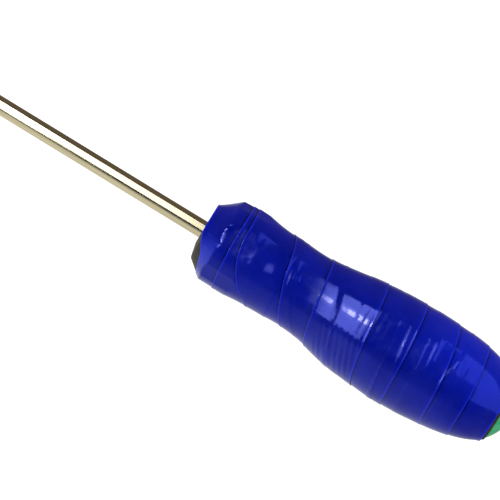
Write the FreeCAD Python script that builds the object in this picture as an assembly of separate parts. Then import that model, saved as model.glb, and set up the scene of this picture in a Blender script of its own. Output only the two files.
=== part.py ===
"""A slotted screwdriver whose two-shot handle has been wrapped in PVC tape.

Everything is modelled along the tool's own axis, X, with X = 0 where the blade leaves the handle, the tip on
the -X side and the butt on the +X side. At the end the tool is laid on the ground: +Z up, origin under the
middle of the tool at its lowest point. Millimetres.
"""
import FreeCAD, Part
import math
import os
from FreeCAD import Rotation, Vector

# ---- blade: one bar of chrome-vanadium steel -------------------------------------------------------------
SHANK_R = 3.0            # round bar
SHANK_REACH = 86.0       # full-round length outside the handle
NECK_LENGTH = 2.0        # short cone from the bar down to the tip
TIP_WIDTH = 5.5          # slotted tip, no wider than the bar
TIP_THICKNESS = 1.0
TIP_GROUND = 10.5        # length of the hollow-ground flats
TIP_LAND = 1.5           # parallel stretch at the very end
TANG_R = 2.5             # turned down inside the handle
TANG_LENGTH = 62.0
WING_SPAN = 9.2          # forged ears that stop the blade turning in the core
WING_THICKNESS = 2.2
WING_LENGTH = 7.0
WING_STARTS = (30.0, 46.0)

# ---- outside of the bare handle, front to back, each length added to the one before ----------------------
FACE_FLAT_R = 5.0        # flat ring round the blade
FACE_DISH = 1.15         # how far the front face leans back
NOSE_R = 10.0            # where the front face meets the chamfer
NOSE_ANGLE = 39.0        # chamfer, degrees from the axis
COLLAR_R = 14.6          # turned-down corners of the hexagon
COLLAR_FLATS = 28.4      # hexagon across flats
COLLAR_TURN = 10.0       # how far the hexagon is turned about the axis, degrees from a flat facing up
COLLAR_LENGTH = 9.83     # full-size part of the collar, behind the chamfer
NECK_R = 13.9
NECK_AFTER = 7.0         # from the collar's end to the neck
FINGER_R = 13.8
FINGER_AFTER = 8.5
WAIST_R = 13.55
WAIST_AFTER = 8.5
SWELL_R = 15.2
SWELL_AFTER = 13.0
BELLY_R = 17.2
BELLY_AFTER = 18.0
BELLY_LENGTH = 18.0
SHOULDER_R = 16.4
SHOULDER_AFTER = 9.5
HEEL_R = 13.9
HEEL_AFTER = 10.0
RIM_R = 10.9
RIM_AFTER = 5.8

# ---- inside the handle ----------------------------------------------------------------------------------
GRIP_WALL = 2.4          # rubber over the hard core
FRONT_WALL = 3.0         # rubber in front of the core
KEY_DEPTH = 1.0          # ring grooves that key the rubber to the core
KEY_WIDTH = 4.0
KEY_COUNT = 3
RIB_DEPTH = 0.35         # fine ribs moulded in the rubber
RIB_GAP = 0.8
RIB_PITCH = 2.3
RIB_PANELS = 3
RIB_PANEL_ANGLE = 76.0
RIB_PANEL_AT = 130.0     # middle of the first panel, degrees from +Y towards +Z

# ---- butt cap ---------------------------------------------------------------------------------------------
CAP_LIP = 0.6            # rubber left between the cap and the rim
CAP_DOME = 4.1           # height of the dome
CAP_FLANGE = 1.8         # cap let into the end of the handle
SPIGOT_R = 5.0
SPIGOT_LENGTH = 10.0
SPIGOT_BARB = 0.35       # snap ring on the spigot
CAP_CLEARANCE = 0.1

# ---- tape: two strips, one wound back from the nose and then one wound forward from the rim ---------------
TAPE_WIDTH = 19.0
TAPE_THICKNESS = 0.2
WRAP_LEAN = 8.0          # lean of each lap, degrees
LEAN_TOWARDS = 30.0      # side on which the laps run forward, degrees from +Y towards +Z
TAPE_DRAPE = 0.6         # how far a turn stays high past an edge that it covers
FRONT_LAYS = (0.0, 0.21, 0.33, 0.67, 1.16)  # front edges of the turns, as shares of the nose-to-waist run
REAR_LAYS = (0.0, 0.31, 0.62, 1.0, 1.4)     # rear edges of the turns, as shares of the rim-to-belly run
TAPE_FRONT_MARGIN = 0.7  # bare chamfer in front of the first turn, where its edge leans forward
TAPE_SHORT_OF_RIM = 0.8
WAIST_MARK = 3.0         # end of the nose-to-waist run, behind the waist
BELLY_MARK = 6.0         # end of the rim-to-belly run, behind the start of the belly

BIG = 60.0               # half-size of cutting blocks, larger than any radius

# ---- places that follow from the sizes ---------------------------------------------------------------------
NOSE_X = FACE_DISH
COLLAR_X = NOSE_X + (COLLAR_R - NOSE_R) / math.tan(math.radians(NOSE_ANGLE))
COLLAR_END = COLLAR_X + COLLAR_LENGTH
NECK_X = COLLAR_END + NECK_AFTER
FINGER_X = NECK_X + FINGER_AFTER
WAIST_X = FINGER_X + WAIST_AFTER
SWELL_X = WAIST_X + SWELL_AFTER
BELLY_X = SWELL_X + BELLY_AFTER
BELLY_END = BELLY_X + BELLY_LENGTH
SHOULDER_X = BELLY_END + SHOULDER_AFTER
HEEL_X = SHOULDER_X + HEEL_AFTER
RIM_X = HEEL_X + RIM_AFTER
CAP_R = RIM_R - CAP_LIP
CAP_SEAT_X = RIM_X - CAP_FLANGE
TIP_X = -(SHANK_REACH + NECK_LENGTH + TIP_GROUND + TIP_LAND)
ALONG = Vector(1, 0, 0)


def rod(radius, start, end):
    """A round bar on the tool's axis."""
    return Part.makeCylinder(radius, end - start, Vector(start, 0, 0), ALONG)


def cone(radius_a, radius_b, start, end):
    return Part.makeCone(radius_a, radius_b, end - start, Vector(start, 0, 0), ALONG)


def spin(edges):
    """A closed outline in the XZ half-plane, turned round the axis."""
    face = Part.Face(Part.Wire(edges))
    return face.revolve(Vector(0, 0, 0), ALONG, 360)


def line(a, b):
    return Part.LineSegment(Vector(a[0], 0, a[1]), Vector(b[0], 0, b[1])).toShape()


def back_curve(offset=0.0):
    """The smooth outline from the end of the collar to the rim, moved out by offset."""
    stations = (
        (COLLAR_END, COLLAR_R), (NECK_X, NECK_R), (FINGER_X, FINGER_R), (WAIST_X, WAIST_R),
        (SWELL_X, SWELL_R), (BELLY_X, BELLY_R), (BELLY_END, BELLY_R),
        (SHOULDER_X, SHOULDER_R), (HEEL_X, HEEL_R), (RIM_X, RIM_R),
    )
    curve = Part.BSplineCurve()
    curve.interpolate([Vector(x, 0, r + offset) for x, r in stations])
    return curve


def radius_at(x, curve):
    """Radius of an outline at a place along the axis, found by halving."""
    low, high = curve.FirstParameter, curve.LastParameter
    for _ in range(40):
        middle = (low + high) / 2
        if curve.value(middle).x < x:
            low = middle
        else:
            high = middle
    return curve.value(low).z


def hexagon(across_flats, start, end):
    """Hexagonal bar, turned about the axis by the collar's turn."""
    corner_r = across_flats / 2 / math.cos(math.radians(30))
    angles = [math.radians(60 * i - COLLAR_TURN) for i in range(7)]
    corners = [Vector(start, corner_r * math.cos(a), corner_r * math.sin(a)) for a in angles]
    return Part.Face(Part.makePolygon(corners)).extrude(ALONG * (end - start))


def envelope(offset=0.0):
    """The whole outside of the handle as one solid, moved out by offset: 0 is the bare rubber."""
    curve = back_curve(offset)
    nose = (NOSE_X, NOSE_R + offset)
    turned = spin([
        line((0, 0), (0, FACE_FLAT_R)),
        line((0, FACE_FLAT_R), nose),
        line(nose, (COLLAR_X, COLLAR_R + offset)),
        line((COLLAR_X, COLLAR_R + offset), (COLLAR_END, COLLAR_R + offset)),
        curve.toShape(),
        line((RIM_X, RIM_R + offset), (RIM_X, 0)),
        line((RIM_X, 0), (0, 0)),
    ])
    outside_hexagon = rod(BIG, -1, FINGER_X).cut(hexagon(COLLAR_FLATS + 2 * offset, -2, FINGER_X + 1))
    return turned.cut(outside_hexagon)


def make_blade():
    """Bar, hollow-ground slotted tip and the winged tang that the core is moulded round."""
    tip_bar_r = TIP_WIDTH / 2
    tip_start = -(SHANK_REACH + NECK_LENGTH)
    bar = rod(SHANK_R, -SHANK_REACH, 0)
    bar = bar.fuse(cone(tip_bar_r, SHANK_R, tip_start, -SHANK_REACH))
    bar = bar.fuse(rod(tip_bar_r, TIP_X, tip_start))
    half = TIP_THICKNESS / 2
    land_x = TIP_X + TIP_LAND
    ground_mid = Vector((land_x + tip_start) / 2, 0, half + (tip_bar_r - half) * 0.33)
    for side in (1, -1):
        flat = Part.Wire([
            line((TIP_X - 1, side * half), (land_x, side * half)),
            Part.Arc(
                Vector(land_x, 0, side * half),
                Vector(ground_mid.x, 0, side * ground_mid.z),
                Vector(tip_start, 0, side * tip_bar_r),
            ).toShape(),
            line((tip_start, side * tip_bar_r), (tip_start, side * BIG)),
            line((tip_start, side * BIG), (TIP_X - 1, side * BIG)),
            line((TIP_X - 1, side * BIG), (TIP_X - 1, side * half)),
        ])
        ground_off = Part.Face(flat).extrude(Vector(0, 2 * BIG, 0))
        ground_off.translate(Vector(0, -BIG, 0))
        bar = bar.cut(ground_off)
    return bar.fuse(rod(TANG_R, 0, TANG_LENGTH)).fuse(make_wings())


def make_wings():
    wings = [
        Part.makeBox(WING_LENGTH, WING_SPAN, WING_THICKNESS,
                     Vector(start, -WING_SPAN / 2, -WING_THICKNESS / 2))
        for start in WING_STARTS
    ]
    return Part.makeCompound(wings)


def make_cap():
    """Domed cap with a snap-in spigot."""
    sphere_r = (CAP_R ** 2 + CAP_DOME ** 2) / (2 * CAP_DOME)
    top = RIM_X + CAP_DOME
    halfway_x = top - CAP_DOME / 3
    halfway_r = math.sqrt(sphere_r ** 2 - (halfway_x - (top - sphere_r)) ** 2)
    dome = Part.Arc(
        Vector(RIM_X, 0, CAP_R), Vector(halfway_x, 0, halfway_r), Vector(top, 0, 0)
    ).toShape()
    spigot_end = CAP_SEAT_X - SPIGOT_LENGTH
    barb_x = spigot_end + 1.5
    return spin([
        line((spigot_end, 0), (spigot_end, SPIGOT_R)),
        line((spigot_end, SPIGOT_R), (barb_x, SPIGOT_R + SPIGOT_BARB)),
        line((barb_x, SPIGOT_R + SPIGOT_BARB), (barb_x + 1.0, SPIGOT_R)),
        line((barb_x + 1.0, SPIGOT_R), (CAP_SEAT_X, SPIGOT_R)),
        line((CAP_SEAT_X, SPIGOT_R), (CAP_SEAT_X, CAP_R)),
        line((CAP_SEAT_X, CAP_R), (RIM_X, CAP_R)),
        dome,
        line((top, 0), (spigot_end, 0)),
    ])


def cap_socket():
    """Room for the cap in the end of the handle, a clearance larger than the cap all round."""
    spigot_end = CAP_SEAT_X - SPIGOT_LENGTH - CAP_CLEARANCE
    room = rod(CAP_R + CAP_CLEARANCE, CAP_SEAT_X, RIM_X + 1)
    room = room.fuse(rod(SPIGOT_R + CAP_CLEARANCE, spigot_end, CAP_SEAT_X + 1))
    return room.fuse(rod(SPIGOT_R + SPIGOT_BARB + CAP_CLEARANCE, spigot_end, spigot_end + 4.0))


def make_core(blade):
    """Hard core moulded round the tang, with ring grooves that hold the rubber."""
    core_length = CAP_SEAT_X - FRONT_WALL
    blank = envelope(-GRIP_WALL).common(rod(BIG, FRONT_WALL, CAP_SEAT_X))
    inner_curve = back_curve(-GRIP_WALL)
    for i in range(KEY_COUNT):
        key_x = FRONT_WALL + core_length * (i + 1) / (KEY_COUNT + 1)
        key_r = radius_at(key_x, inner_curve) - KEY_DEPTH
        ring = rod(BIG, key_x - KEY_WIDTH / 2, key_x + KEY_WIDTH / 2)
        blank = blank.cut(ring.cut(rod(key_r, key_x - KEY_WIDTH, key_x + KEY_WIDTH)))
    return blank.cut(cap_socket()).cut(blade)


def rib_grooves():
    """Fine grooves between the ribs, in panels round the belly and waist."""
    curve = back_curve()
    grooves = []
    count = int((SHOULDER_X - WAIST_X) / RIB_PITCH)
    for i in range(count):
        x = WAIST_X + (i + 0.5) * RIB_PITCH
        floor_r = radius_at(x, curve) - RIB_DEPTH
        ring = rod(floor_r + 2.0, x, x + RIB_GAP).cut(rod(floor_r, x - 1, x + RIB_GAP + 1))
        for panel in range(RIB_PANELS):
            start = RIB_PANEL_AT + 360 / RIB_PANELS * panel - RIB_PANEL_ANGLE / 2
            wedge = Part.makeCylinder(BIG, RIB_GAP + 2, Vector(x - 1, 0, 0), ALONG, RIB_PANEL_ANGLE)
            wedge.rotate(Vector(0, 0, 0), ALONG, start)
            grooves.append(ring.common(wedge))
    return Part.makeCompound(grooves)


def make_grip(blade, core, bare):
    """Rubber over-moulded on the core, with the collar and the ribbed panels."""
    return bare.cut(core).cut(blade).cut(cap_socket()).cut(rib_grooves())


def slab(start, end):
    """The space between two parallel leaning planes that cross the axis at start and end."""
    lean = math.tan(math.radians(WRAP_LEAN))
    side = math.radians(LEAN_TOWARDS)
    normal = Vector(1, lean * math.cos(side), lean * math.sin(side)).normalize()
    thickness = (end - start) * normal.x
    block = Part.makeBox(thickness, 2 * BIG, 2 * BIG, Vector(0, -BIG, -BIG))
    block.Placement = FreeCAD.Placement(Vector(start, 0, 0), Rotation(ALONG, normal))
    return block


def raised(levels):
    """Levels with each high stretch run on past its own edge, as tape drapes over a step."""
    out = []
    for start, end, height in levels:
        out.append((start - TAPE_DRAPE, end + TAPE_DRAPE, height))
    return out


def height_at(x, levels):
    return max([h for a, b, h in levels if a <= x < b] + [0])


def stretches(start, end, levels):
    """Cuts start..end at every change of height, as (start, end, height)."""
    marks = sorted({start, end} | {m for a, b, _ in levels for m in (a, b) if start < m < end})
    return [(a, b, height_at((a + b) / 2, levels)) for a, b in zip(marks, marks[1:])]


def make_turns(edges, skins):
    """Lays turns of tape one after another. Each is as high as what it covers, plus one thickness."""
    whole_handle = rod(BIG, NOSE_X, RIM_X - TAPE_SHORT_OF_RIM)
    levels = []
    turns = []
    for start, end in edges:
        before = stretches(start, end, levels)
        after = [(a, b, h + 1) for a, b, h in stretches(start, end, raised(levels))]
        turn = filled(after, skins).cut(filled(before, skins)).common(whole_handle)
        turns.append(turn)
        levels += after
    return turns


def filled(pieces, skins):
    """The handle and its tape, over these stretches, as one solid."""
    solids = [skins[h].common(slab(a, b)) for a, b, h in pieces]
    return solids[0].multiFuse(solids[1:]) if len(solids) > 1 else solids[0]


def tape_edges():
    """Front and rear edge of each turn on the axis, in the order in which they are laid."""
    lean = math.tan(math.radians(WRAP_LEAN))
    nose_edge = NOSE_X + NOSE_R * lean + TAPE_FRONT_MARGIN
    rim_edge = RIM_X + RIM_R * lean
    front_run = WAIST_X + WAIST_MARK - nose_edge
    rear_run = rim_edge - (BELLY_X + BELLY_MARK)
    rear_edges = [rim_edge - share * rear_run for share in REAR_LAYS]
    front_edges = [nose_edge + share * front_run for share in FRONT_LAYS]
    front = [(edge, edge + TAPE_WIDTH) for edge in front_edges]
    rear = [(edge - TAPE_WIDTH, edge) for edge in rear_edges]
    return front, rear


def one_solid(shape):
    """The shape's largest solid; slivers that a leaning cut leaves behind are dropped."""
    return max(shape.Solids, key=lambda s: s.Volume)


def main():
    bare = envelope()
    blade = make_blade()
    core = make_core(blade)
    parts = {
        "blade": blade,
        "handle_core": core,
        "grip_sleeve": make_grip(blade, core, bare),
        "end_cap": make_cap(),
    }
    front, rear = tape_edges()
    skins = [envelope(i * TAPE_THICKNESS) for i in range(len(front + rear) + 1)]
    turns = make_turns(front + rear, skins)
    for i, turn in enumerate(turns[:len(front)]):
        parts[f"tape_front_turn_{i + 1}"] = turn
    for i, turn in enumerate(turns[len(front):]):
        parts[f"tape_rear_turn_{i + 1}"] = turn

    parts = {name: one_solid(shape.removeSplitter()) for name, shape in parts.items()}
    box = Part.makeCompound(list(parts.values())).optimalBoundingBox()
    to_ground = Vector(-(box.XMin + box.XMax) / 2, 0, -box.ZMin)
    os.makedirs("parts", exist_ok=True)
    for name, shape in parts.items():
        shape.translate(to_ground)
        shape.exportStep(f"parts/{name}.step")
        print(f"{name}: valid {shape.isValid()}, {shape.Volume:.1f} mm3, solids {len(shape.Solids)}")
    print(f"handle face at X {to_ground.x:.3f}, axis at Z {to_ground.z:.3f}, length {box.XLength:.2f}")


main()
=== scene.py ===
# %% [markdown]
# # A slotted screwdriver with a taped handle
# The tool is a round plated bar in a bulbous moulded handle, and somebody has wound the handle in blue PVC
# tape. The frame from the CAD step gives every size and place. It stays as it is, and this file builds the
# surfaces that a person sees on top of it: a bar that is truly round, the bare rubber nose, the butt, and
# two strips of tape that are wound turn by turn, so that each lap rests on what lies under it.

# %% Load the frame
import math
import bmesh
import bpy
import numpy as np
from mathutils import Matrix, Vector, noise
from mathutils.bvhtree import BVHTree


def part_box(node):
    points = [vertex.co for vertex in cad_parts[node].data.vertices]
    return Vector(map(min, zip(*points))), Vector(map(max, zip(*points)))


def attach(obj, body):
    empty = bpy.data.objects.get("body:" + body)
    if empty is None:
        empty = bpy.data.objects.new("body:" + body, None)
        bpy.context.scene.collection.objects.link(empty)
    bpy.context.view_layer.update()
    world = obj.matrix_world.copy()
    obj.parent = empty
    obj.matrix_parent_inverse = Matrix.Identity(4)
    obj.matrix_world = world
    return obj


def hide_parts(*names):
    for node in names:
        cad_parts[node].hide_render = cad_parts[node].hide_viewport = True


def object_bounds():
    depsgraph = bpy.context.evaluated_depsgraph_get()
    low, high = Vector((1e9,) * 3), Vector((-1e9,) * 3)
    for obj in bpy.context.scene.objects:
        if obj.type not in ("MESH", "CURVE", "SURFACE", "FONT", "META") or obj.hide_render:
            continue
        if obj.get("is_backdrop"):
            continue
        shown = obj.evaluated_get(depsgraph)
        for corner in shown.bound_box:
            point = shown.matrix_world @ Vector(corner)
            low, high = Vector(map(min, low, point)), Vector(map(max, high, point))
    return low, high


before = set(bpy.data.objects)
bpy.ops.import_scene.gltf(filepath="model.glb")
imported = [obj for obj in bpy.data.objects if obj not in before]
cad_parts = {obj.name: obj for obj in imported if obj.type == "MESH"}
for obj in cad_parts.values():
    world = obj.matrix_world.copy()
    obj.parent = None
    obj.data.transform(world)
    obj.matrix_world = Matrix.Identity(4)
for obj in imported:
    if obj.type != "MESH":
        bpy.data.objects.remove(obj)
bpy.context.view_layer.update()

# %% [markdown]
# Every place on this tool is easy to say as three numbers: how far behind the nose of the handle, how far
# round from the top, and how far out from the axis. So the first helper turns those three into a point. It
# takes the nose and the height of the axis from the frame, and it works in millimetres and degrees, as a
# maker would.

# %% Places on the tool
MM = 0.001
nose_x, rim_x = (corner.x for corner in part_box("grip_sleeve"))
bar_low, bar_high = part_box("blade")
axis_z = (bar_low.z + bar_high.z) / 2
HANDLE_LENGTH = (rim_x - nose_x) / MM


def place(along, angle, radius):
    """Millimetres behind the nose, degrees from the top towards +Y, millimetres out from the axis."""
    turn = math.radians(angle)
    sideways, up = math.sin(turn) * radius, math.cos(turn) * radius
    return Vector((nose_x + along * MM, sideways * MM, axis_z + up * MM))


print(f"handle {HANDLE_LENGTH:.1f} mm long, axis {axis_z / MM:.2f} mm above the floor")

# %% [markdown]
# The camera hangs straight above the tool with a long lens, and it is rolled so that the bar enters at the
# upper left and the butt leaves at the lower right. A long lens far away keeps the bar's two edges
# parallel.

# %% Camera
VIEW_WIDTH = 165.0        # millimetres that the picture takes in
CAMERA_HEIGHT = 1600.0
CAMERA_BEHIND_NOSE = 16.6
CAMERA_ASIDE = 2.3
CAMERA_ROLL = 31.45
SENSOR = 36.0

lens = bpy.data.cameras.new("camera")
lens.sensor_width = SENSOR
lens.lens = SENSOR * CAMERA_HEIGHT / VIEW_WIDTH
lens.clip_start, lens.clip_end = 0.01, 50
camera = bpy.data.objects.new("camera", lens)
bpy.context.scene.collection.objects.link(camera)
camera.location = place(CAMERA_BEHIND_NOSE, 0, CAMERA_HEIGHT) + Vector((0, CAMERA_ASIDE * MM, 0))
camera.rotation_euler = (0, 0, math.radians(CAMERA_ROLL))
bpy.context.scene.camera = camera
print(f"lens {lens.lens:.0f} mm at {CAMERA_HEIGHT / 1000:.1f} m")

# %% [markdown]
# ## Helpers for pieces
# A new piece is made in a bmesh, gets smooth shading and becomes an object at the origin. One helper does
# that last step for all of them, and hides the part of the frame that the piece stands for.

# %% Finishing a piece
def finish_piece(bm, name, stands_for, smooth_below=35):
    mesh = bpy.data.meshes.new(name)
    bm.to_mesh(mesh)
    bm.free()
    mesh.shade_smooth()
    mesh.set_sharp_from_angle(angle=math.radians(smooth_below))
    piece = bpy.data.objects.new(name, mesh)
    bpy.context.scene.collection.objects.link(piece)
    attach(piece, "root")
    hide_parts(stands_for)
    print(f"{name}: {len(mesh.polygons)} faces")
    return piece


def turned(outline, steps=96):
    """Spins an outline of (along, radius) points round the tool's axis into a closed skin."""
    bm = bmesh.new()
    points = [bm.verts.new(place(along, 0, radius)) for along, radius in outline]
    chain = [bm.edges.new(pair) for pair in zip(points, points[1:])]
    bmesh.ops.spin(
        bm, geom=points + chain, cent=place(0, 0, 0), axis=(1, 0, 0), dvec=(0, 0, 0),
        angle=math.tau, steps=steps, use_merge=True, use_duplicate=False)
    bmesh.ops.remove_doubles(bm, verts=bm.verts, dist=0.002 * MM)
    bmesh.ops.recalc_face_normals(bm, faces=bm.faces)
    return bm


# %% [markdown]
# ## The bar
# The bar is drawn steel, nickel plated, and ground to a slotted tip that is no wider than the bar itself.
# The frame's bar is made of flat strips, and a mirror finish would show each one. So it is drawn again, as
# a ring that is pulled along the axis and reshaped on the way. The ring keeps the same points from end to
# end: a quarter of them always belongs to each ground flat, so the edge between flat and round stays a
# clean line.

# %% Bar and ground tip
SHANK_R = 3.0
TIP_R = 2.75
TIP_HALF_THICKNESS = 0.5
TIP_X = (bar_low.x - nose_x) / MM
LAND_X = TIP_X + 1.5
GROUND_END_X = TIP_X + 12.0
NECK_END_X = GROUND_END_X + 2.0
FLAT_SHARE = 24
FLAT_FROM = math.radians(70)


def ground_half(along):
    """Half the bar's thickness at a place: flat at the land, then hollow ground up to the round bar."""
    if along <= LAND_X:
        return TIP_HALF_THICKNESS
    if along >= GROUND_END_X:
        return bar_radius(along)
    part = (along - LAND_X) / (GROUND_END_X - LAND_X)
    return TIP_HALF_THICKNESS + (TIP_R - TIP_HALF_THICKNESS) * part ** 1.6


def bar_radius(along):
    part = min(1.0, max(0.0, (along - GROUND_END_X) / (NECK_END_X - GROUND_END_X)))
    return TIP_R + (SHANK_R - TIP_R) * part


def bar_ring(along):
    """The bar's section at a place, as points round it that start at the right-hand flat's edge."""
    radius, half = bar_radius(along), ground_half(along)
    edge = min(FLAT_FROM, math.asin(min(1.0, half / radius)))
    corners = [edge, math.pi - edge, math.pi + edge, math.tau - edge, math.tau + edge]
    ring = []
    for start, stop in zip(corners, corners[1:]):
        for step in range(FLAT_SHARE):
            angle = start + (stop - start) * step / FLAT_SHARE
            rise = max(-half, min(half, radius * math.sin(angle)))
            ring.append(place(along, 0, 0) + Vector((0, radius * math.cos(angle), rise)) * MM)
    return ring


def make_bar():
    bm = bmesh.new()
    ground = list(np.linspace(LAND_X, GROUND_END_X, 36))
    stops = [TIP_X, TIP_X + 0.08, *ground, NECK_END_X, NECK_END_X + 0.3, -0.5, 4.0]
    first = bmesh.ops.create_circle(bm, segments=4 * FLAT_SHARE, radius=SHANK_R * MM, cap_ends=False)
    ring = first["verts"]
    for vert, point in zip(ring, bar_ring(stops[0])):
        vert.co = point
    bmesh.ops.contextual_create(bm, geom=[e for e in bm.edges])
    for along in stops[1:]:
        edges = [bm.edges.get((a, b)) for a, b in zip(ring, ring[1:] + ring[:1])]
        made = bmesh.ops.extrude_edge_only(bm, edges=edges)["geom"]
        new = {v for v in made if isinstance(v, bmesh.types.BMVert)}
        ring = [next(e.other_vert(v) for e in v.link_edges if e.other_vert(v) in new) for v in ring]
        for vert, point in zip(ring, bar_ring(along)):
            vert.co = point
    bmesh.ops.contextual_create(bm, geom=[bm.edges.get((a, b)) for a, b in zip(ring, ring[1:] + ring[:1])])
    bmesh.ops.recalc_face_normals(bm, faces=bm.faces)
    return finish_piece(bm, "bar", "blade", smooth_below=25)


bar = make_bar()

# %% [markdown]
# ## Measuring the bare handle
# Tape lies on the handle, so its shape starts from the rubber's. Rays are shot inwards from all round, and
# each gives the radius where it meets the frame's rubber. The result is a table with one row for each
# direction and one column for each quarter of a millimetre. Taut tape bridges fine grooves, so the table is
# softened a little, but never below the rubber itself. In front of the nose the chamfer is carried on,
# because tape that sticks out past an edge keeps its slope.

# %% The skin table
DIRECTIONS = 300
STATION_STEP = 0.25
NOSE_EDGE = 1.5
stations = np.arange(-1.0, HANDLE_LENGTH, STATION_STEP)


def bell(width):
    """Weights of a bell curve for blurring the table along the handle; width in millimetres."""
    reach = int(math.ceil(3 * width / STATION_STEP))
    steps = np.arange(-reach, reach + 1) * STATION_STEP
    weights = np.exp(-0.5 * (steps / width) ** 2)
    return weights / weights.sum()


def bridged(profile, gap):
    """Fills every dip that is narrower than the gap, as a taut strip would."""
    reach = int(round(gap / STATION_STEP / 2))
    padded = np.pad(profile, 2 * reach, mode="edge")
    windows = np.lib.stride_tricks.sliding_window_view(padded, 2 * reach + 1)
    highest = windows.max(axis=1)
    return np.lib.stride_tricks.sliding_window_view(highest, 2 * reach + 1).min(axis=1)


def blurred(profile, weights):
    reach = len(weights) // 2
    return np.convolve(np.pad(profile, reach, mode="edge"), weights, mode="valid")


def measure_skin():
    tree = BVHTree.FromObject(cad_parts["grip_sleeve"], bpy.context.evaluated_depsgraph_get())
    outside = 30.0
    skin = np.zeros((DIRECTIONS, len(stations)))
    first = int(np.searchsorted(stations, NOSE_EDGE))
    for row in range(DIRECTIONS):
        angle = 360 * row / DIRECTIONS
        inward = (place(0, angle, 0) - place(0, angle, 1)).normalized()
        for column in range(first, len(stations)):
            hit = tree.ray_cast(place(stations[column], angle, outside), inward)
            skin[row, column] = outside - hit[3] / MM if hit[0] else skin[row, column - 1]
        slope = (skin[row, first + 8] - skin[row, first]) / (8 * STATION_STEP)
        for column in range(first):
            skin[row, column] = skin[row, first] - slope * (stations[first] - stations[column])
    return skin


bare = measure_skin()
BRIDGED_GAP = 1.5
rubber_blur = bell(0.45)
taut = [bridged(row, BRIDGED_GAP) for row in bare]
skin = np.array([np.maximum(row, blurred(row, rubber_blur)) for row in taut])
print(f"skin from {skin.min():.1f} to {skin.max():.1f} mm radius")

# %% [markdown]
# ## Laying the tape
# The two strips were put on by hand. The first starts at the nose and works back, so its front edges show.
# The second starts at the butt, works forward over everything, and ends over the waist, so its rear edges
# show, and the last turn shows both. Each strip is given by the path of the edge that shows, as places
# behind the nose at so many turns. A whole number of turns is the top of the handle.
#
# Laying the tape changes the table: where a strip passes, the skin is one thickness higher for whatever
# comes next. Blurring the table's row before each step lets the strip drape over the edges under it.

# %% Paths of the two strips
TAPE_WIDTH = 20.0
TAPE_THICKNESS = 0.17
FRONT_STRIP = (
    (-0.50, 0.8), (-0.25, -0.1), (0.00, 0.0), (0.03, 0.5), (0.06, 1.5), (0.10, 3.2), (0.17, 4.5), (0.25, 5.3),
    (0.50, 8.0), (0.75, 10.5), (1.00, 10.5), (1.25, 12.3), (1.50, 12.4), (1.75, 12.5), (1.95, 12.9),
    (2.02, 14.1), (2.07, 16.3), (2.13, 19.6), (2.17, 23.0), (2.25, 25.0), (2.50, 25.8), (2.75, 26.4),
    (3.00, 31.0), (3.12, 34.8), (3.25, 38.4), (3.50, 42.3), (3.75, 46.5), (3.90, 49.2), (4.00, 51.6),
    (4.25, 56.5), (4.50, 58.5),
)
REAR_STRIP = (
    (-0.50, 114.0), (0.30, 114.0), (0.50, 109.0), (0.75, 103.8), (1.00, 103.0), (1.25, 100.4), (1.50, 97.5),
    (1.75, 94.2), (2.00, 92.2), (2.25, 88.2), (2.50, 83.5), (2.75, 79.7), (3.00, 78.0), (3.25, 75.8),
    (3.50, 72.5), (3.75, 68.2), (3.90, 65.2), (4.00, 63.6), (4.25, 61.4), (4.47, 60.5),
)
ACROSS = 56
EDGE_CROWDING = 0.6
EDGE_CURL = 0.07
EDGE_CURL_REACH = 0.5
DRAPE = 2.1


def edge_path(knots, corner=0.012):
    """A function that gives the edge's place after so many turns, with the corners of the path rounded."""
    turns, places = (np.array(v) for v in zip(*knots))
    offsets = np.linspace(-2, 2, 9) * corner
    weights = np.exp(-0.5 * (offsets / corner) ** 2)
    weights /= weights.sum()
    return lambda turn: float((np.interp(turn + offsets, turns, places) * weights).sum())


def crowded(count):
    """Shares from 0 to 1 that lie closer together at both ends, where the tape's edges need detail."""
    share = np.linspace(0, 1, count + 1)
    return share - EDGE_CROWDING * np.sin(math.tau * share) / math.tau


def wind(knots, guide_is_front, handed):
    """Lays one strip on the skin table. Returns its turns, directions, places along and radii, row by row."""
    path = edge_path(knots)
    calm = edge_path(knots, corner=0.08)
    first, last = knots[0][0], knots[-1][0]
    rows = int(round((last - first) * DIRECTIONS)) + 1
    share = crowded(ACROSS)
    drape_blur = bell(DRAPE)
    laid = {"turn": [], "row": [], "along": [], "radius": []}
    for step in range(rows):
        turn = first + step / DIRECTIONS
        row = int(round(handed * turn * DIRECTIONS)) % DIRECTIONS
        front = path(turn) if guide_is_front else calm(turn) - TAPE_WIDTH
        rear = calm(turn) + TAPE_WIDTH if guide_is_front else path(turn)
        if not guide_is_front:
            front = min(front, rear - 5)
        along = front + (rear - front) * share
        under = np.maximum(skin[row], blurred(skin[row], drape_blur))
        to_edge = np.minimum(along - front, rear - along)
        curl = EDGE_CURL * np.exp(-(to_edge / EDGE_CURL_REACH) ** 2)
        laid["turn"].append(turn)
        laid["row"].append(row)
        laid["along"].append(along)
        laid["radius"].append(np.interp(along, stations, under) + TAPE_THICKNESS + curl)
        covered = (stations > front) & (stations < rear)
        skin[row, covered] = under[covered] + TAPE_THICKNESS
    return {key: np.array(value) for key, value in laid.items()}


front_strip = wind(FRONT_STRIP, guide_is_front=True, handed=-1)
rear_strip = wind(REAR_STRIP, guide_is_front=False, handed=1)
print(f"laid {len(front_strip['turn']) + len(rear_strip['turn'])} rows, skin now up to {skin.max():.2f} mm")

# %% [markdown]
# Hand-wound tape is never quite smooth. It has soft swellings where air or a fold is caught, and short
# creases where it was pulled round a curve. Both are added to all the layers at once, as a small lift that
# depends only on the place, so that no layer cuts into another.

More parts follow.
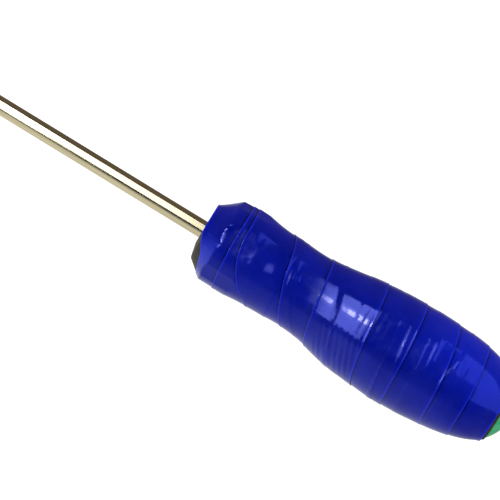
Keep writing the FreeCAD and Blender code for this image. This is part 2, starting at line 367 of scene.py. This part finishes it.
# %% Swellings and creases
MM_ROUND = 0.28           # millimetres round the handle for each degree, near enough for a crease
CREASES = (
    # start along, angle; end along, angle; height; half width
    (74.9, 30, 77.6, -30, 0.14, 0.85),
    (85.2, 36, 86.3, -6, 0.24, 0.85),
    (94.2, 22, 92.2, -10, 0.20, 0.8),
    (94.4, 22, 95.6, -2, 0.17, 0.7),
    (48.3, 36, 51.9, 4, 0.14, 1.1),
    (2.8, 2, 9.2, 34, 0.30, 1.1),
    (32.4, 14, 33.6, -8, 0.22, 0.9),
    (34.6, 16, 35.4, 0, 0.20, 0.7),
)
SWELLINGS = (
    # along, angle, height, reach along, reach round
    (7.6, -3, 0.22, 2.4, 13),
    (19.2, -5, 0.26, 1.2, 9),
    (21.9, -4, 0.11, 0.8, 7),
    (27.4, 0, 0.50, 3.6, 10),
    (13.0, 90, 0.45, 8.0, 40),
    (55.0, -90, 1.1, 10.0, 40),
    (77.0, -90, 1.1, 15.0, 35),
)
UNEVENNESS = 0.05
UNEVEN_SCALE = 9.0


def crease_lift(along, angle):
    lift = np.zeros_like(along)
    for start_x, start_a, end_x, end_a, height, half_width in CREASES:
        run_x, run_y = end_x - start_x, (end_a - start_a) * MM_ROUND
        from_x, from_y = along - start_x, (angle - start_a) * MM_ROUND
        part = np.clip((from_x * run_x + from_y * run_y) / (run_x * run_x + run_y * run_y), 0, 1)
        apart = np.hypot(from_x - part * run_x, from_y - part * run_y)
        tapered = np.sin(math.pi * np.clip(part, 0.08, 0.92)) ** 0.5
        lift += height * tapered * np.exp(-(apart / half_width) ** 2)
    return lift


def swelling_lift(along, angle):
    lift = np.zeros_like(along)
    for at, round_at, height, reach, round_reach in SWELLINGS:
        lift += height * np.exp(-((along - at) / reach) ** 2 - ((angle - round_at) / round_reach) ** 2)
    return lift


def uneven_lift(along, angle, radius):
    spots = [place(x, angle, r) / (UNEVEN_SCALE * MM) for x, r in zip(along, radius)]
    return np.array([UNEVENNESS * (0.5 + 0.5 * noise.noise(spot)) for spot in spots])


print(f"{len(CREASES)} creases and {len(SWELLINGS)} swellings")

# %% [markdown]
# Some things under the tape show through it. The last turn steps up over the end of the strip beneath it,
# and the rubber of the handle has leaning ribs at the belly and a fine hatch near the butt. The hand that
# wound the tape pressed it into them, so they are lifts by place as well. Each pattern fades out at the
# border of its panel.

# %% What shows through
TERRACE = ((48.9, 0.0), (54.0, 0.60), (62.8, 0.74), (74.0, 0.0))   # along, height
TERRACE_LEAN = 0.085                     # how far its second place runs forward for each degree round
TERRACE_MIDDLE, TERRACE_REACH = 4, 34    # degrees round
RIBS = (57.0, 7.5, -46, 32, 0.12, 2.2)   # middle, reach along; middle, reach round; height; pitch
HATCH = (94.0, 17.0, -50, 26, 0.035, 1.7)
HELIX_LEAN = 0.10                        # how far the ribs lean along for each degree round
HATCH_LEAN = 0.3                         # the same for the hatch, whose lines cross


def terrace_lift(along, angle):
    """A step where the last turn crosses an end of the strip beneath; it then runs out rearwards."""
    places, heights = (np.array(v) for v in zip(*TERRACE))
    places = places - np.array((0, TERRACE_LEAN * angle, 0, 0))
    offsets = np.linspace(-1.2, 1.2, 25)
    rise = np.mean([np.interp(along + offset, places, heights) for offset in offsets], axis=0)
    return rise * math.exp(-abs((angle - TERRACE_MIDDLE) / TERRACE_REACH) ** 4)


def panel_mask(panel, along, angle):
    middle, reach, round_middle, round_reach = panel[:4]
    return np.exp(-np.abs((along - middle) / reach) ** 6 - np.abs((angle - round_middle) / round_reach) ** 6)


def rubber_pattern(along, angle):
    """Ribs and a fine hatch moulded in the rubber, which show through the tape."""
    leaning = along + HELIX_LEAN * angle
    ribs = RIBS[4] * (0.5 + 0.5 * np.cos(math.tau * leaning / RIBS[5])) * panel_mask(RIBS, along, angle)
    around = HATCH_LEAN * angle
    hatch = np.cos(math.tau * (along + around) / HATCH[5]) * np.cos(math.tau * (along - around) / HATCH[5])
    return ribs + HATCH[4] * (0.5 + 0.5 * hatch) * panel_mask(HATCH, along, angle)


print(f"ribs every {RIBS[5]} mm, hatch every {HATCH[5]} mm")

# %% [markdown]
# The finish paints light and shade on the tape, and needs three numbers at each point for it: how near it is
# to the tape's own edge, for a painted highlight; how near to the edge of a turn that was laid later, for a
# painted shadow; and how strongly a painted patch of light over the rear of the belly falls there. They come
# from the winding and the place, so they are worked out here and kept as attributes of the mesh, which a
# material can read.

# %% Edges, painted shadow and painted light
# How wide the painted shadow beside a covering edge is, in millimetres.
EDGE_SHADOW_REACH = 0.50
# How wide the painted highlight along the tape's own edge is, in millimetres.
EDGE_HIGHLIGHT_REACH = 0.45
# Painted light: where the paler patch over the rear of the belly is strongest, and how far it reaches.
REAR_LIGHT_PATCH = (97.0, 44, 21.0, 48)   # along, angle, reach along, reach round


def covering_edges(strips):
    """For each direction, the edges laid there, in order: a list of (order, along)."""
    edges = [[] for _ in range(DIRECTIONS)]
    order = 0
    for strip in strips:
        for row, along in zip(strip["row"], strip["along"]):
            edges[row].append((order, along[0]))
            edges[row].append((order, along[-1]))
            order += 1
    return edges


edges_laid = covering_edges((front_strip, rear_strip))


# Painted shadow: darkens a turn beside each edge of a later turn that lies on it, where the step would cast
# its shade.
def painted_edge_shadow(order, row, along):
    later = [place_along for laid_at, place_along in edges_laid[row] if laid_at > order]
    if not later:
        return np.zeros_like(along)
    apart = np.min(np.abs(along[:, None] - np.array(later)[None, :]), axis=1)
    return np.exp(-(apart / EDGE_SHADOW_REACH) ** 2)


def painted_rear_light(along, angle):
    """Painted light: a paler patch, strongest over the rear of the belly, 44 degrees round from the top
    towards +Y.
    """
    at, round_at, reach, round_reach = REAR_LIGHT_PATCH
    return np.exp(-np.abs((along - at) / reach) ** 4 - np.abs((angle - round_at) / round_reach) ** 4)


print(f"at most {max(len(edges) for edges in edges_laid)} edges of tape in one direction")

# %% [markdown]
# Each turn becomes one piece. It starts as a flat grid with the proportions of the strip, and its points
# are moved to where the winding put them. A Solidify modifier then gives the strip its thickness, inwards
# from the outer face.

# %% Turns of tape as pieces
TAPE_SHARE = 0.96                    # how much of its thickness each turn fills, so that laps never touch
TAPE_SMOOTH_BELOW = 19


def make_turn(name, stands_for, strip, first_order, start, stop, handed):
    """One piece from row start to row stop of a strip."""
    length = stop - start
    bm = bmesh.new()
    uv = bm.loops.layers.uv.new("UVMap")
    bmesh.ops.create_grid(bm, x_segments=ACROSS, y_segments=length, size=0.5, calc_uvs=True)
    edge_highlight = bm.verts.layers.float.new("edge_highlight")
    edge_shadow = bm.verts.layers.float.new("edge_shadow")
    rear_light = bm.verts.layers.float.new("rear_light")
    spots = np.zeros((length + 1, ACROSS + 1, 3))
    edge_highlights = np.zeros((length + 1, ACROSS + 1))
    edge_shadows = np.zeros((length + 1, ACROSS + 1))
    rear_lights = np.zeros((length + 1, ACROSS + 1))
    for step in range(length + 1):
        k = start + step
        along, radius = strip["along"][k], strip["radius"][k]
        angle = (handed * strip["turn"][k] * 360 + 180) % 360 - 180
        lift = crease_lift(along, angle) + swelling_lift(along, angle) + uneven_lift(along, angle, radius)
        lift += rubber_pattern(along, angle) + terrace_lift(along, angle)
        out = (radius + lift) * MM
        turn = math.radians(angle)
        spots[step, :, 0] = nose_x + along * MM
        spots[step, :, 1] = out * math.sin(turn)
        spots[step, :, 2] = axis_z + out * math.cos(turn)
        to_edge = np.minimum(along - along[0], along[-1] - along)
        # Painted highlight along the tape's own edges.
        edge_highlights[step] = np.exp(-(to_edge / EDGE_HIGHLIGHT_REACH) ** 2)
        # Painted shadow beside the edges of later turns.
        edge_shadows[step] = painted_edge_shadow(first_order + k, strip["row"][k], along)
        # Painted light over the rear of the belly.
        rear_lights[step] = painted_rear_light(along, angle)
    total = len(strip["turn"]) - 1
    for vert in bm.verts:
        column, step = round((vert.co.x + 0.5) * ACROSS), round((vert.co.y + 0.5) * length)
        vert[edge_highlight], vert[edge_shadow], vert[rear_light] = edge_highlights[step, column], edge_shadows[step, column], rear_lights[step, column]
        for loop in vert.link_loops:
            loop[uv].uv = (column / ACROSS, (start + step) / total)
        vert.co = spots[step, column]
    bm.normal_update()
    middle = bm.faces[:][len(bm.faces) // 2]
    centre = middle.calc_center_median()
    if middle.normal.dot(centre - Vector((centre.x, 0, axis_z))) < 0:
        bmesh.ops.reverse_faces(bm, faces=bm.faces)
    piece = finish_piece(bm, name, stands_for, smooth_below=TAPE_SMOOTH_BELOW)
    wall = piece.modifiers.new("thickness", "SOLIDIFY")
    wall.thickness = TAPE_THICKNESS * TAPE_SHARE * MM
    wall.offset = -1
    return piece


def make_strip(label, strip, first_order, handed):
    pieces = []
    last = len(strip["turn"]) - 1
    for number, start in enumerate(range(0, last, DIRECTIONS), 1):
        stop = min(start + DIRECTIONS, last)
        pieces.append(make_turn(f"{label}_tape_{number}", f"tape_{label}_turn_{number}",
                                strip, first_order, start, stop, handed))
    return pieces


tape = make_strip("front", front_strip, 0, -1)
tape += make_strip("rear", rear_strip, len(front_strip["turn"]), 1)

# %% [markdown]
# ## The bare rubber and the butt
# Only two bits of the moulded handle can be seen: the nose, where the first turn of tape stops short of one
# side, and the thin rim at the butt. Both belong to one sleeve, so it is drawn again as one skin. The butt
# comes first, because the sleeve's end has to fit round it. It is a shallow green dome that is let into the
# end of the sleeve. Its outline is an arc, spun into a closed skin, with a small shoulder where it drops
# into the rubber.

# %% Butt cap
cap_low, cap_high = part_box("end_cap")
CAP_TOP = (cap_high.x - nose_x) / MM
CAP_R = (cap_high.y - cap_low.y) / 2 / MM
CAP_DOME = CAP_TOP - HANDLE_LENGTH
CAP_SEAT = HANDLE_LENGTH - 2.2       # how deep in the sleeve the cap ends
CAP_GAP = 0.05


def make_cap():
    ball = (CAP_R ** 2 + CAP_DOME ** 2) / (2 * CAP_DOME)
    centre = CAP_TOP - ball
    outline = [(CAP_SEAT, 0.0), (CAP_SEAT, CAP_R - CAP_GAP)]
    outline.append((HANDLE_LENGTH - 0.35, CAP_R - CAP_GAP))
    for share in np.linspace(0.97, 0, 24):
        radius = CAP_R * share
        outline.append((centre + math.sqrt(ball ** 2 - radius ** 2), radius))
    return finish_piece(turned(outline, steps=96), "butt", "end_cap")


butt = make_cap()

# %% [markdown]
# The sleeve is spun from an outline too. It follows the measured table, a hair inside it, so that the tape
# covers it all round. The collar's six flats are cut with planes, which is how a mould maker would think of
# them.

# %% Grip sleeve
FACE_FLAT_R = 5.0
NOSE_X = 1.15
NOSE_R = 10.0
COLLAR_TURN = 10          # degrees from the top to the middle of the first flat
COLLAR_END = 20.0
FLATS_AT = 12.0           # where the distance across the flats is read
TUCK = 0.02               # how far the sleeve stays inside the measured skin


def sleeve_radius(along):
    """The smallest measured radius at a place, a hair inside."""
    return float(np.interp(along, stations, bare.min(axis=0))) - TUCK


def collar_radius(along):
    return float(np.interp(along, stations, bare.max(axis=0))) - TUCK


def press_flat(bm, outward, reach, behind):
    """Cuts the skin along a plane, and pushes what lies beyond it back onto the plane."""
    face_at = place(0, 0, 0) + outward * reach * MM
    near = [f for f in bm.faces if f.calc_center_median().x < behind]
    geom = near + list({e for f in near for e in f.edges}) + list({v for f in near for v in f.verts})
    bmesh.ops.bisect_plane(bm, geom=geom, dist=0.001 * MM, plane_no=outward, plane_co=face_at)
    for vert in bm.verts:
        beyond = (vert.co - face_at).dot(outward)
        if beyond > 1e-6 and vert.co.x < behind:
            vert.co -= outward * beyond


def make_sleeve():
    outline = [(0.0, SHANK_R + 0.02), (0.0, FACE_FLAT_R), (NOSE_X - 0.12, NOSE_R - 0.5),
               (NOSE_X + 0.02, NOSE_R - 0.15), (NOSE_X + 0.2, NOSE_R + 0.1)]
    outline += [(x, collar_radius(x)) for x in np.arange(2.0, COLLAR_END, 0.8)]
    outline += [(x, sleeve_radius(x)) for x in np.arange(COLLAR_END, HANDLE_LENGTH - 0.4, 1.5)]
    end_r = sleeve_radius(HANDLE_LENGTH - 0.3)
    outline += [(HANDLE_LENGTH - 0.25, end_r), (HANDLE_LENGTH - 0.02, end_r - 0.25),
                (HANDLE_LENGTH - 0.02, CAP_R + CAP_GAP), (CAP_SEAT, CAP_R + CAP_GAP)]
    bm = turned(outline, steps=144)
    across_flats = float(bare[:, int(np.searchsorted(stations, FLATS_AT))].min())
    for side in range(6):
        angle = COLLAR_TURN + 60 * side
        press_flat(bm, (place(0, angle, 1) - place(0, angle, 0)).normalized(), across_flats - TUCK,
                   place(COLLAR_END, 0, 0).x)
    return finish_piece(bm, "sleeve", "grip_sleeve", smooth_below=28)


sleeve = make_sleeve()

# %% [markdown]
# ## Finishes
# A material is a tree of nodes, and the same few steps come up in all of them: add a node and feed it, scale
# a value, make a cloudy noise, turn it into a colour. Each step gets a helper, so that the materials below
# read like recipes.

# %% Node helpers
def new_material(name):
    material = bpy.data.materials.new(name)
    material.use_nodes = True
    tree = material.node_tree
    return material, tree, tree.nodes["Principled BSDF"]


def add(tree, kind, inputs=None, **settings):
    """Adds a node, sets its properties, and sets or links its inputs by name or number."""
    node = tree.nodes.new(kind)
    for key, value in settings.items():
        setattr(node, key, value)
    for key, value in (inputs or {}).items():
        if isinstance(value, bpy.types.NodeSocket):
            tree.links.new(value, node.inputs[key])
        else:
            node.inputs[key].default_value = value
    return node


def scaled(tree, value, factor, more, limit=False):
    """value * factor + more, held between 0 and 1 when limit is set."""
    node = add(tree, "ShaderNodeMath", {0: value, 1: factor, 2: more}, operation="MULTIPLY_ADD")
    node.use_clamp = limit
    return node.outputs[0]


def cloudy(tree, vector, scale, detail, roughness=0.5, distortion=0.0):
    """Cloudy noise between 0 and 1."""
    return add(tree, "ShaderNodeTexNoise", {"Vector": vector, "Scale": scale, "Detail": detail,
                                            "Roughness": roughness, "Distortion": distortion}).outputs["Fac"]


def ramp(tree, source, *stops):
    """A colour ramp; each stop is a place and a grey level or a colour."""
    node = add(tree, "ShaderNodeValToRGB", {"Fac": source})
    while len(node.color_ramp.elements) < len(stops):
        node.color_ramp.elements.new(0.5)
    for element, (at, value) in zip(node.color_ramp.elements, stops):
        element.position = at
        element.color = (*value, 1) if hasattr(value, "__len__") else (value, value, value, 1)
    return node.outputs["Color"]


def mixed(tree, share, first, second):
    """One colour that runs into another. Each is a colour or a socket."""
    node = add(tree, "ShaderNodeMix", data_type="RGBA")
    tree.links.new(share, node.inputs[0])
    for socket, value in ((node.inputs[6], first), (node.inputs[7], second)):
        if isinstance(value, bpy.types.NodeSocket):
            tree.links.new(value, socket)
        else:
            socket.default_value = (*value, 1)
    return node.outputs[2]


def object_place(tree, scale=(1, 1, 1)):
    coordinates = add(tree, "ShaderNodeTexCoord")
    mapped = add(tree, "ShaderNodeMapping", {"Vector": coordinates.outputs["Object"], "Scale": scale})
    return mapped.outputs["Vector"]


def bump(tree, height, strength, depth, after=None):
    node = add(tree, "ShaderNodeBump", {"Height": height, "Strength": strength, "Distance": depth})
    if after is not None:
        tree.links.new(after, node.inputs["Normal"])
    return node.outputs["Normal"]


def dress(material, *pieces):
    for piece in pieces:
        piece.data.materials.clear()
        piece.data.materials.append(material)
    print(f"{material.name} on", ", ".join(piece.name for piece in pieces))


# %% [markdown]
# Every finish on this tool has some grain and some handling marks, so both are made once as node groups.
# The first gives a fine grain as a height for a bump. The second gives a mask of smudges, where fingers
# have left a film that dulls the gloss. Each material places them with its own scale and strength.

# %% Grain and smudges
def new_group(name, outputs, **numbers):
    group = bpy.data.node_groups.new(name, "ShaderNodeTree")
    group.interface.new_socket("Vector", in_out="INPUT", socket_type="NodeSocketVector")
    for key, value in numbers.items():
        socket = group.interface.new_socket(key, in_out="INPUT", socket_type="NodeSocketFloat")
        socket.default_value = value
    for key in outputs:
        group.interface.new_socket(key, in_out="OUTPUT", socket_type="NodeSocketFloat")
    return group, group.nodes.new("NodeGroupInput").outputs, group.nodes.new("NodeGroupOutput").inputs


def make_grain_group():
    """Fine grain: two sizes of noise, added. Size is in grains for each metre."""
    group, given, out = new_group("grain", ["Height"], Size=2000.0, Coarse=0.3)
    fine = cloudy(group, given["Vector"], given["Size"], 3.0)
    wide = cloudy(group, given["Vector"], scaled(group, given["Size"], 0.2, 0.0), 2.0)
    group.links.new(scaled(group, wide, given["Coarse"], fine), out["Height"])
    return group


def make_smudge_group():
    """Handling marks: a mask from 0, clean, to 1, smudged."""
    group, given, out = new_group("smudge", ["Mask"], Size=90.0, Amount=0.5)
    warp = cloudy(group, given["Vector"], given["Size"], 5.0, roughness=0.65, distortion=1.2)
    mask = add(group, "ShaderNodeMapRange", {"Value": warp, "From Min": 0.45, "From Max": 0.72})
    group.links.new(scaled(group, mask.outputs["Result"], given["Amount"], 0.0), out["Mask"])
    return group


grain_group = make_grain_group()
smudge_group = make_smudge_group()


def use(tree, group, vector, **values):
    node = add(tree, "ShaderNodeGroup", node_tree=group)
    tree.links.new(vector, node.inputs["Vector"])
    for key, value in values.items():
        node.inputs[key].default_value = value
    return node.outputs[0]


print("node groups:", grain_group.name, smudge_group.name)

# %% [markdown]
# ### Tape
# The tape is soft PVC, deep ultramarine all through, with a glossy skin from the rollers that made it.
# Winding stretches it, so fine lines run along the strip, and its colour pales a little in random clouds.
# Light and shade are painted into the colour as well: a paler painted highlight along the cut edges, a paler
# patch of painted light over the rear of the belly, and a dark painted shadow beside each edge where a later
# turn lies on it. The lines follow the strip, so they read its own UV map, in which U runs across the strip
# and V along it.

# %% Tape material
TAPE_BLUE = (0.0006, 0.0040, 0.20)
# The paler blue that the random clouds, the painted highlight and the painted light mix in.
TAPE_PALE = (0.004, 0.014, 0.50)
# Colour of the painted shadow beside covering edges.
EDGE_SHADOW_COLOUR = (0.0006, 0.0014, 0.035)
GLOSS_TINT = (0.20, 0.25, 1.0)
# How much of the painted light over the rear of the belly goes into the colour.
REAR_LIGHT_SHARE = 0.46
# How much of the painted highlight along the edges goes into the colour.
EDGE_HIGHLIGHT_SHARE = 1.0
TAPE_ROUGHNESS = 0.09
TAPE_RELIEF = 0.05 * MM


def tape_material():
    material, tree, shader = new_material("pvc tape")
    uv = add(tree, "ShaderNodeUVMap", uv_map="UVMap").outputs["UV"]
    lines_at = add(tree, "ShaderNodeMapping", {"Vector": uv, "Scale": (60, 14, 1)}).outputs["Vector"]
    lines = cloudy(tree, lines_at, 1.0, 4.0, roughness=0.6)
    spots = object_place(tree)
    stretch = add(tree, "ShaderNodeMapRange", {"Value": cloudy(tree, spots, 75.0, 3.0, roughness=0.55),
                                               "From Min": 0.42, "From Max": 0.75, "To Max": 0.22})
    edge_highlight, edge_shadow, rear_light = (add(tree, "ShaderNodeAttribute", attribute_name=kept).outputs["Fac"]
                       for kept in ("edge_highlight", "edge_shadow", "rear_light"))
    # Painted light over the rear of the belly, added to the random pale clouds.
    pale = scaled(tree, rear_light, REAR_LIGHT_SHARE, stretch.outputs["Result"])
    # Painted highlight along the tape's own edges pales the colour.
    pale = scaled(tree, edge_highlight, EDGE_HIGHLIGHT_SHARE, pale, limit=True)
    colour = mixed(tree, pale, TAPE_BLUE, TAPE_PALE)
    # Painted shadow beside the edges of later turns darkens the colour.
    tree.links.new(mixed(tree, edge_shadow, colour, EDGE_SHADOW_COLOUR), shader.inputs["Base Color"])

    film = use(tree, smudge_group, spots, Size=110.0, Amount=0.12)
    rough = scaled(tree, lines, 0.04, film)
    tree.links.new(scaled(tree, rough, 1.0, TAPE_ROUGHNESS), shader.inputs["Roughness"])

    peel = use(tree, grain_group, spots, Size=1500.0, Coarse=0.8)
    normal = bump(tree, lines, 0.12, TAPE_RELIEF)
    normal = bump(tree, peel, 0.08, TAPE_RELIEF, after=normal)
    tree.links.new(normal, shader.inputs["Normal"])
    shader.inputs["IOR"].default_value = 1.5
    shader.inputs["Specular IOR Level"].default_value = 0.9
    shader.inputs["Specular Tint"].default_value = (*GLOSS_TINT, 1)
    return material


dress(tape_material(), *tape)

# %% [markdown]
# ### Plated bar
# The bar was drawn through a die and plated with nickel, which leaves a warm bright metal with very fine
# lines along its length. Noise that is stretched a hundredfold along the bar gives those lines to the
# roughness and, very faintly, to the colour and the bump.

# %% Steel material
NICKEL = (0.84, 0.76, 0.54)
NICKEL_DARK = (0.62, 0.53, 0.34)
STEEL_ROUGHNESS = 0.07
STEEL_RELIEF = 0.02 * MM


def steel_material():
    material, tree, shader = new_material("plated steel")
    drawn = object_place(tree, scale=(0.012, 1, 1))
    lines = cloudy(tree, drawn, 2600.0, 4.0, roughness=0.7)
    colour = ramp(tree, lines, (0.25, NICKEL_DARK), (0.62, NICKEL))
    tree.links.new(colour, shader.inputs["Base Color"])
    film = use(tree, smudge_group, object_place(tree), Size=140.0, Amount=0.04)
    rough = scaled(tree, lines, 0.08, film)
    tree.links.new(scaled(tree, rough, 1.0, STEEL_ROUGHNESS), shader.inputs["Roughness"])
    tree.links.new(bump(tree, lines, 0.08, STEEL_RELIEF), shader.inputs["Normal"])
    shader.inputs["Metallic"].default_value = 1.0
    return material


dress(steel_material(), bar)

# %% [markdown]
# ### Rubber and hard plastic
# The rubber is moulded in a tool with a spark-eroded face, so it has a fine matt grain, an olive-black
# colour, and pale dust in the grain. The butt is a glossy green plastic with a faint swirl from moulding
# and a satin wear on its crown.

# %% Rubber and plastic materials
RUBBER = (0.026, 0.022, 0.011)
RUBBER_DUST = (0.060, 0.051, 0.030)
GREEN = (0.012, 0.30, 0.115)
GREEN_PALE = (0.06, 0.48, 0.24)


def moulded_material(name, base, marked, *, grain_size, grain_depth, roughness, mark_amount, gloss):
    material, tree, shader = new_material(name)
    spots = object_place(tree)
    marks = use(tree, smudge_group, spots, Size=160.0, Amount=mark_amount)
    colour = ramp(tree, marks, (0.0, base), (1.0, marked))
    tree.links.new(colour, shader.inputs["Base Color"])
    grain = use(tree, grain_group, spots, Size=grain_size, Coarse=0.5)
    tree.links.new(scaled(tree, marks, 0.25, roughness), shader.inputs["Roughness"])
    tree.links.new(bump(tree, grain, 0.5, grain_depth), shader.inputs["Normal"])
    shader.inputs["Specular IOR Level"].default_value = gloss
    return material


rubber = moulded_material("grip rubber", RUBBER, RUBBER_DUST, grain_size=2600.0, grain_depth=0.10 * MM,
                          roughness=0.55, mark_amount=0.6, gloss=0.2)
plastic = moulded_material("hard plastic", GREEN, GREEN_PALE, grain_size=900.0, grain_depth=0.02 * MM,
                           roughness=0.24, mark_amount=0.5, gloss=0.5)
dress(rubber, sleeve)
dress(plastic, butt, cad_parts["handle_core"])

# %% [markdown]
# ## Floor and light
# Small glossy goods are often shown on a light table: a plain pale floor that glows a little, so that the
# object casts almost no shadow. The floor here is one plain sheet with a weak, even glow, and an even pale
# sky does the rest. It could be lit from above instead, but then the shadow would hide the underside of the
# handle.

# %% Floor
FLOOR_SIZE = 6.0
FLOOR_WHITE = 0.55
FLOOR_GLOW = 0.75


def make_floor():
    lowest = min(0.0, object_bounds()[0].z)
    bm = bmesh.new()
    bmesh.ops.create_grid(bm, x_segments=2, y_segments=2, size=FLOOR_SIZE / 2)
    bmesh.ops.translate(bm, verts=bm.verts, vec=(0, 0, lowest - 0.02 * MM))
    mesh = bpy.data.meshes.new("floor")
    bm.to_mesh(mesh)
    bm.free()
    floor = bpy.data.objects.new("floor", mesh)
    bpy.context.scene.collection.objects.link(floor)
    material, tree, shader = new_material("floor")
    cloud = cloudy(tree, object_place(tree), 3.0, 2.0)
    tone = ramp(tree, cloud, (0.0, FLOOR_WHITE - 0.01), (1.0, FLOOR_WHITE + 0.01))
    tree.links.new(tone, shader.inputs["Base Color"])
    shader.inputs["Roughness"].default_value = 0.9
    tree.links.new(tone, shader.inputs["Emission Color"])
    shader.inputs["Emission Strength"].default_value = FLOOR_GLOW / FLOOR_WHITE
    floor.data.materials.append(material)
    floor.visible_glossy = False
    floor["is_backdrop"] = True
    print(f"floor {lowest / MM:.2f} mm below the frame's lowest point")
    return floor


floor = make_floor()

# %% [markdown]
# Gloss shows only what it mirrors, so the lamps are placed by what each surface should show. A long soft
# box high over the bar gives the two bright patches on the waist, and a small hot lamp just under it gives
# each patch its core. A narrow card draws the white line along the bar, and two dim bluish cards beyond the
# butt give the rear of the handle a soft sheen. They are panels that only glossy surfaces see, so the even
# light on the floor isn't disturbed.

# %% Soft boxes
def soft_box(name, centre, size, radiance, colour=(1, 1, 1)):
    """A glowing panel that faces down, at a place over the tool in millimetres from the nose."""
    data = bpy.data.lights.new(name, "AREA")
    data.shape = "RECTANGLE"
    data.size, data.size_y = size[0] * MM, size[1] * MM
    data.energy = radiance * math.pi * data.size * data.size_y
    data.color = colour
    box = bpy.data.objects.new(name, data)
    bpy.context.scene.collection.objects.link(box)
    box.location = Vector((nose_x, 0, axis_z)) + Vector(centre) * MM
    box.visible_camera = False
    box.visible_diffuse = False
    print(f"{name}: {size[0]} by {size[1]} mm")


soft_box("key", (-238, 250, 700), (263, 1300), 6.0, (0.95, 0.95, 0.92))
soft_box("hot core", (-160, 175, 690), (90, 170), 40.0, (1, 0.80, 0.35))
soft_box("bar card", (-59, 450, 705), (102, 1300), 2.0)
soft_box("rear card", (905, 1225, 700), (1190, 1950), 1.9, (0.40, 0.50, 1))
soft_box("low rear card", (990, 25, 700), (1020, 450), 1.9, (0.40, 0.50, 1))

# %% [markdown]
# The rest of the mirror image is a room, which is painted on the sky by direction and shown only to rays
# that leave a glossy surface: dark above, brown at the horizon, a pale wall low on the near side that grows
# brighter towards the tip, and a small blue wall beyond the nose. Every other ray meets the even pale sky.

# %% Surroundings
SKY = 1.15
NEAR_WALL = (0.0, -0.85, -0.53)
NEAR_WALL_TONE = (0.54, 0.56, 0.52)
FRONT_WALL = (-0.87, -0.48, -0.08)
FRONT_WALL_TONE = (0.20, 0.35, 1.6)
HORIZON_TONE = (0.13, 0.105, 0.085)
CEILING_TONE = (0.008, 0.010, 0.02)


def combined(tree, operation, first, second):
    return add(tree, "ShaderNodeVectorMath", {0: first, 1: second}, operation=operation).outputs["Vector"]


def wall_mask(tree, direction, facing, *stops):
    """A mask that is bright where the view runs towards a side of the room."""
    nearness = add(tree, "ShaderNodeVectorMath", {0: direction, 1: facing}, operation="DOT_PRODUCT")
    return ramp(tree, nearness.outputs["Value"], *stops)


def make_world():
    world = bpy.data.worlds.new("studio")
    bpy.context.scene.world = world
    world.use_nodes = True
    world.cycles.sampling_method = "NONE"
    tree = world.node_tree
    tree.nodes.clear()
    direction = add(tree, "ShaderNodeTexCoord").outputs["Generated"]
    parts = add(tree, "ShaderNodeSeparateXYZ", {"Vector": direction}).outputs
    room = ramp(tree, parts["Z"], (0.20, HORIZON_TONE), (0.60, CEILING_TONE))
    near = wall_mask(tree, direction, NEAR_WALL, (0.0, 0.0), (0.05, 0.22), (0.20, 0.25), (0.40, 1.0))
    forward = add(tree, "ShaderNodeMapRange", {"Value": parts["X"], "From Min": -0.35, "From Max": 0.4,
                                               "To Min": 1.7, "To Max": 0.30}).outputs["Result"]
    front = wall_mask(tree, direction, FRONT_WALL, (0.84, 0.0), (0.95, 1.0))
    near = combined(tree, "MULTIPLY", combined(tree, "MULTIPLY", near, forward), NEAR_WALL_TONE)
    front = combined(tree, "MULTIPLY", front, FRONT_WALL_TONE)
    seen = combined(tree, "ADD", combined(tree, "ADD", room, near), front)
    mirrored = add(tree, "ShaderNodeBackground", {"Color": seen, "Strength": 1.0})
    sky = add(tree, "ShaderNodeBackground", {"Color": (1, 1, 1, 1), "Strength": SKY})
    glossy = add(tree, "ShaderNodeLightPath").outputs["Is Glossy Ray"]
    both = add(tree, "ShaderNodeMixShader", {0: glossy, 1: sky.outputs[0], 2: mirrored.outputs[0]})
    out = tree.nodes.new("ShaderNodeOutputWorld")
    tree.links.new(both.outputs[0], out.inputs["Surface"])


make_world()
view = bpy.context.scene.view_settings
view.view_transform = "Standard"
view.look = "None"
print(f"sky {SKY}, floor glow {FLOOR_GLOW}")
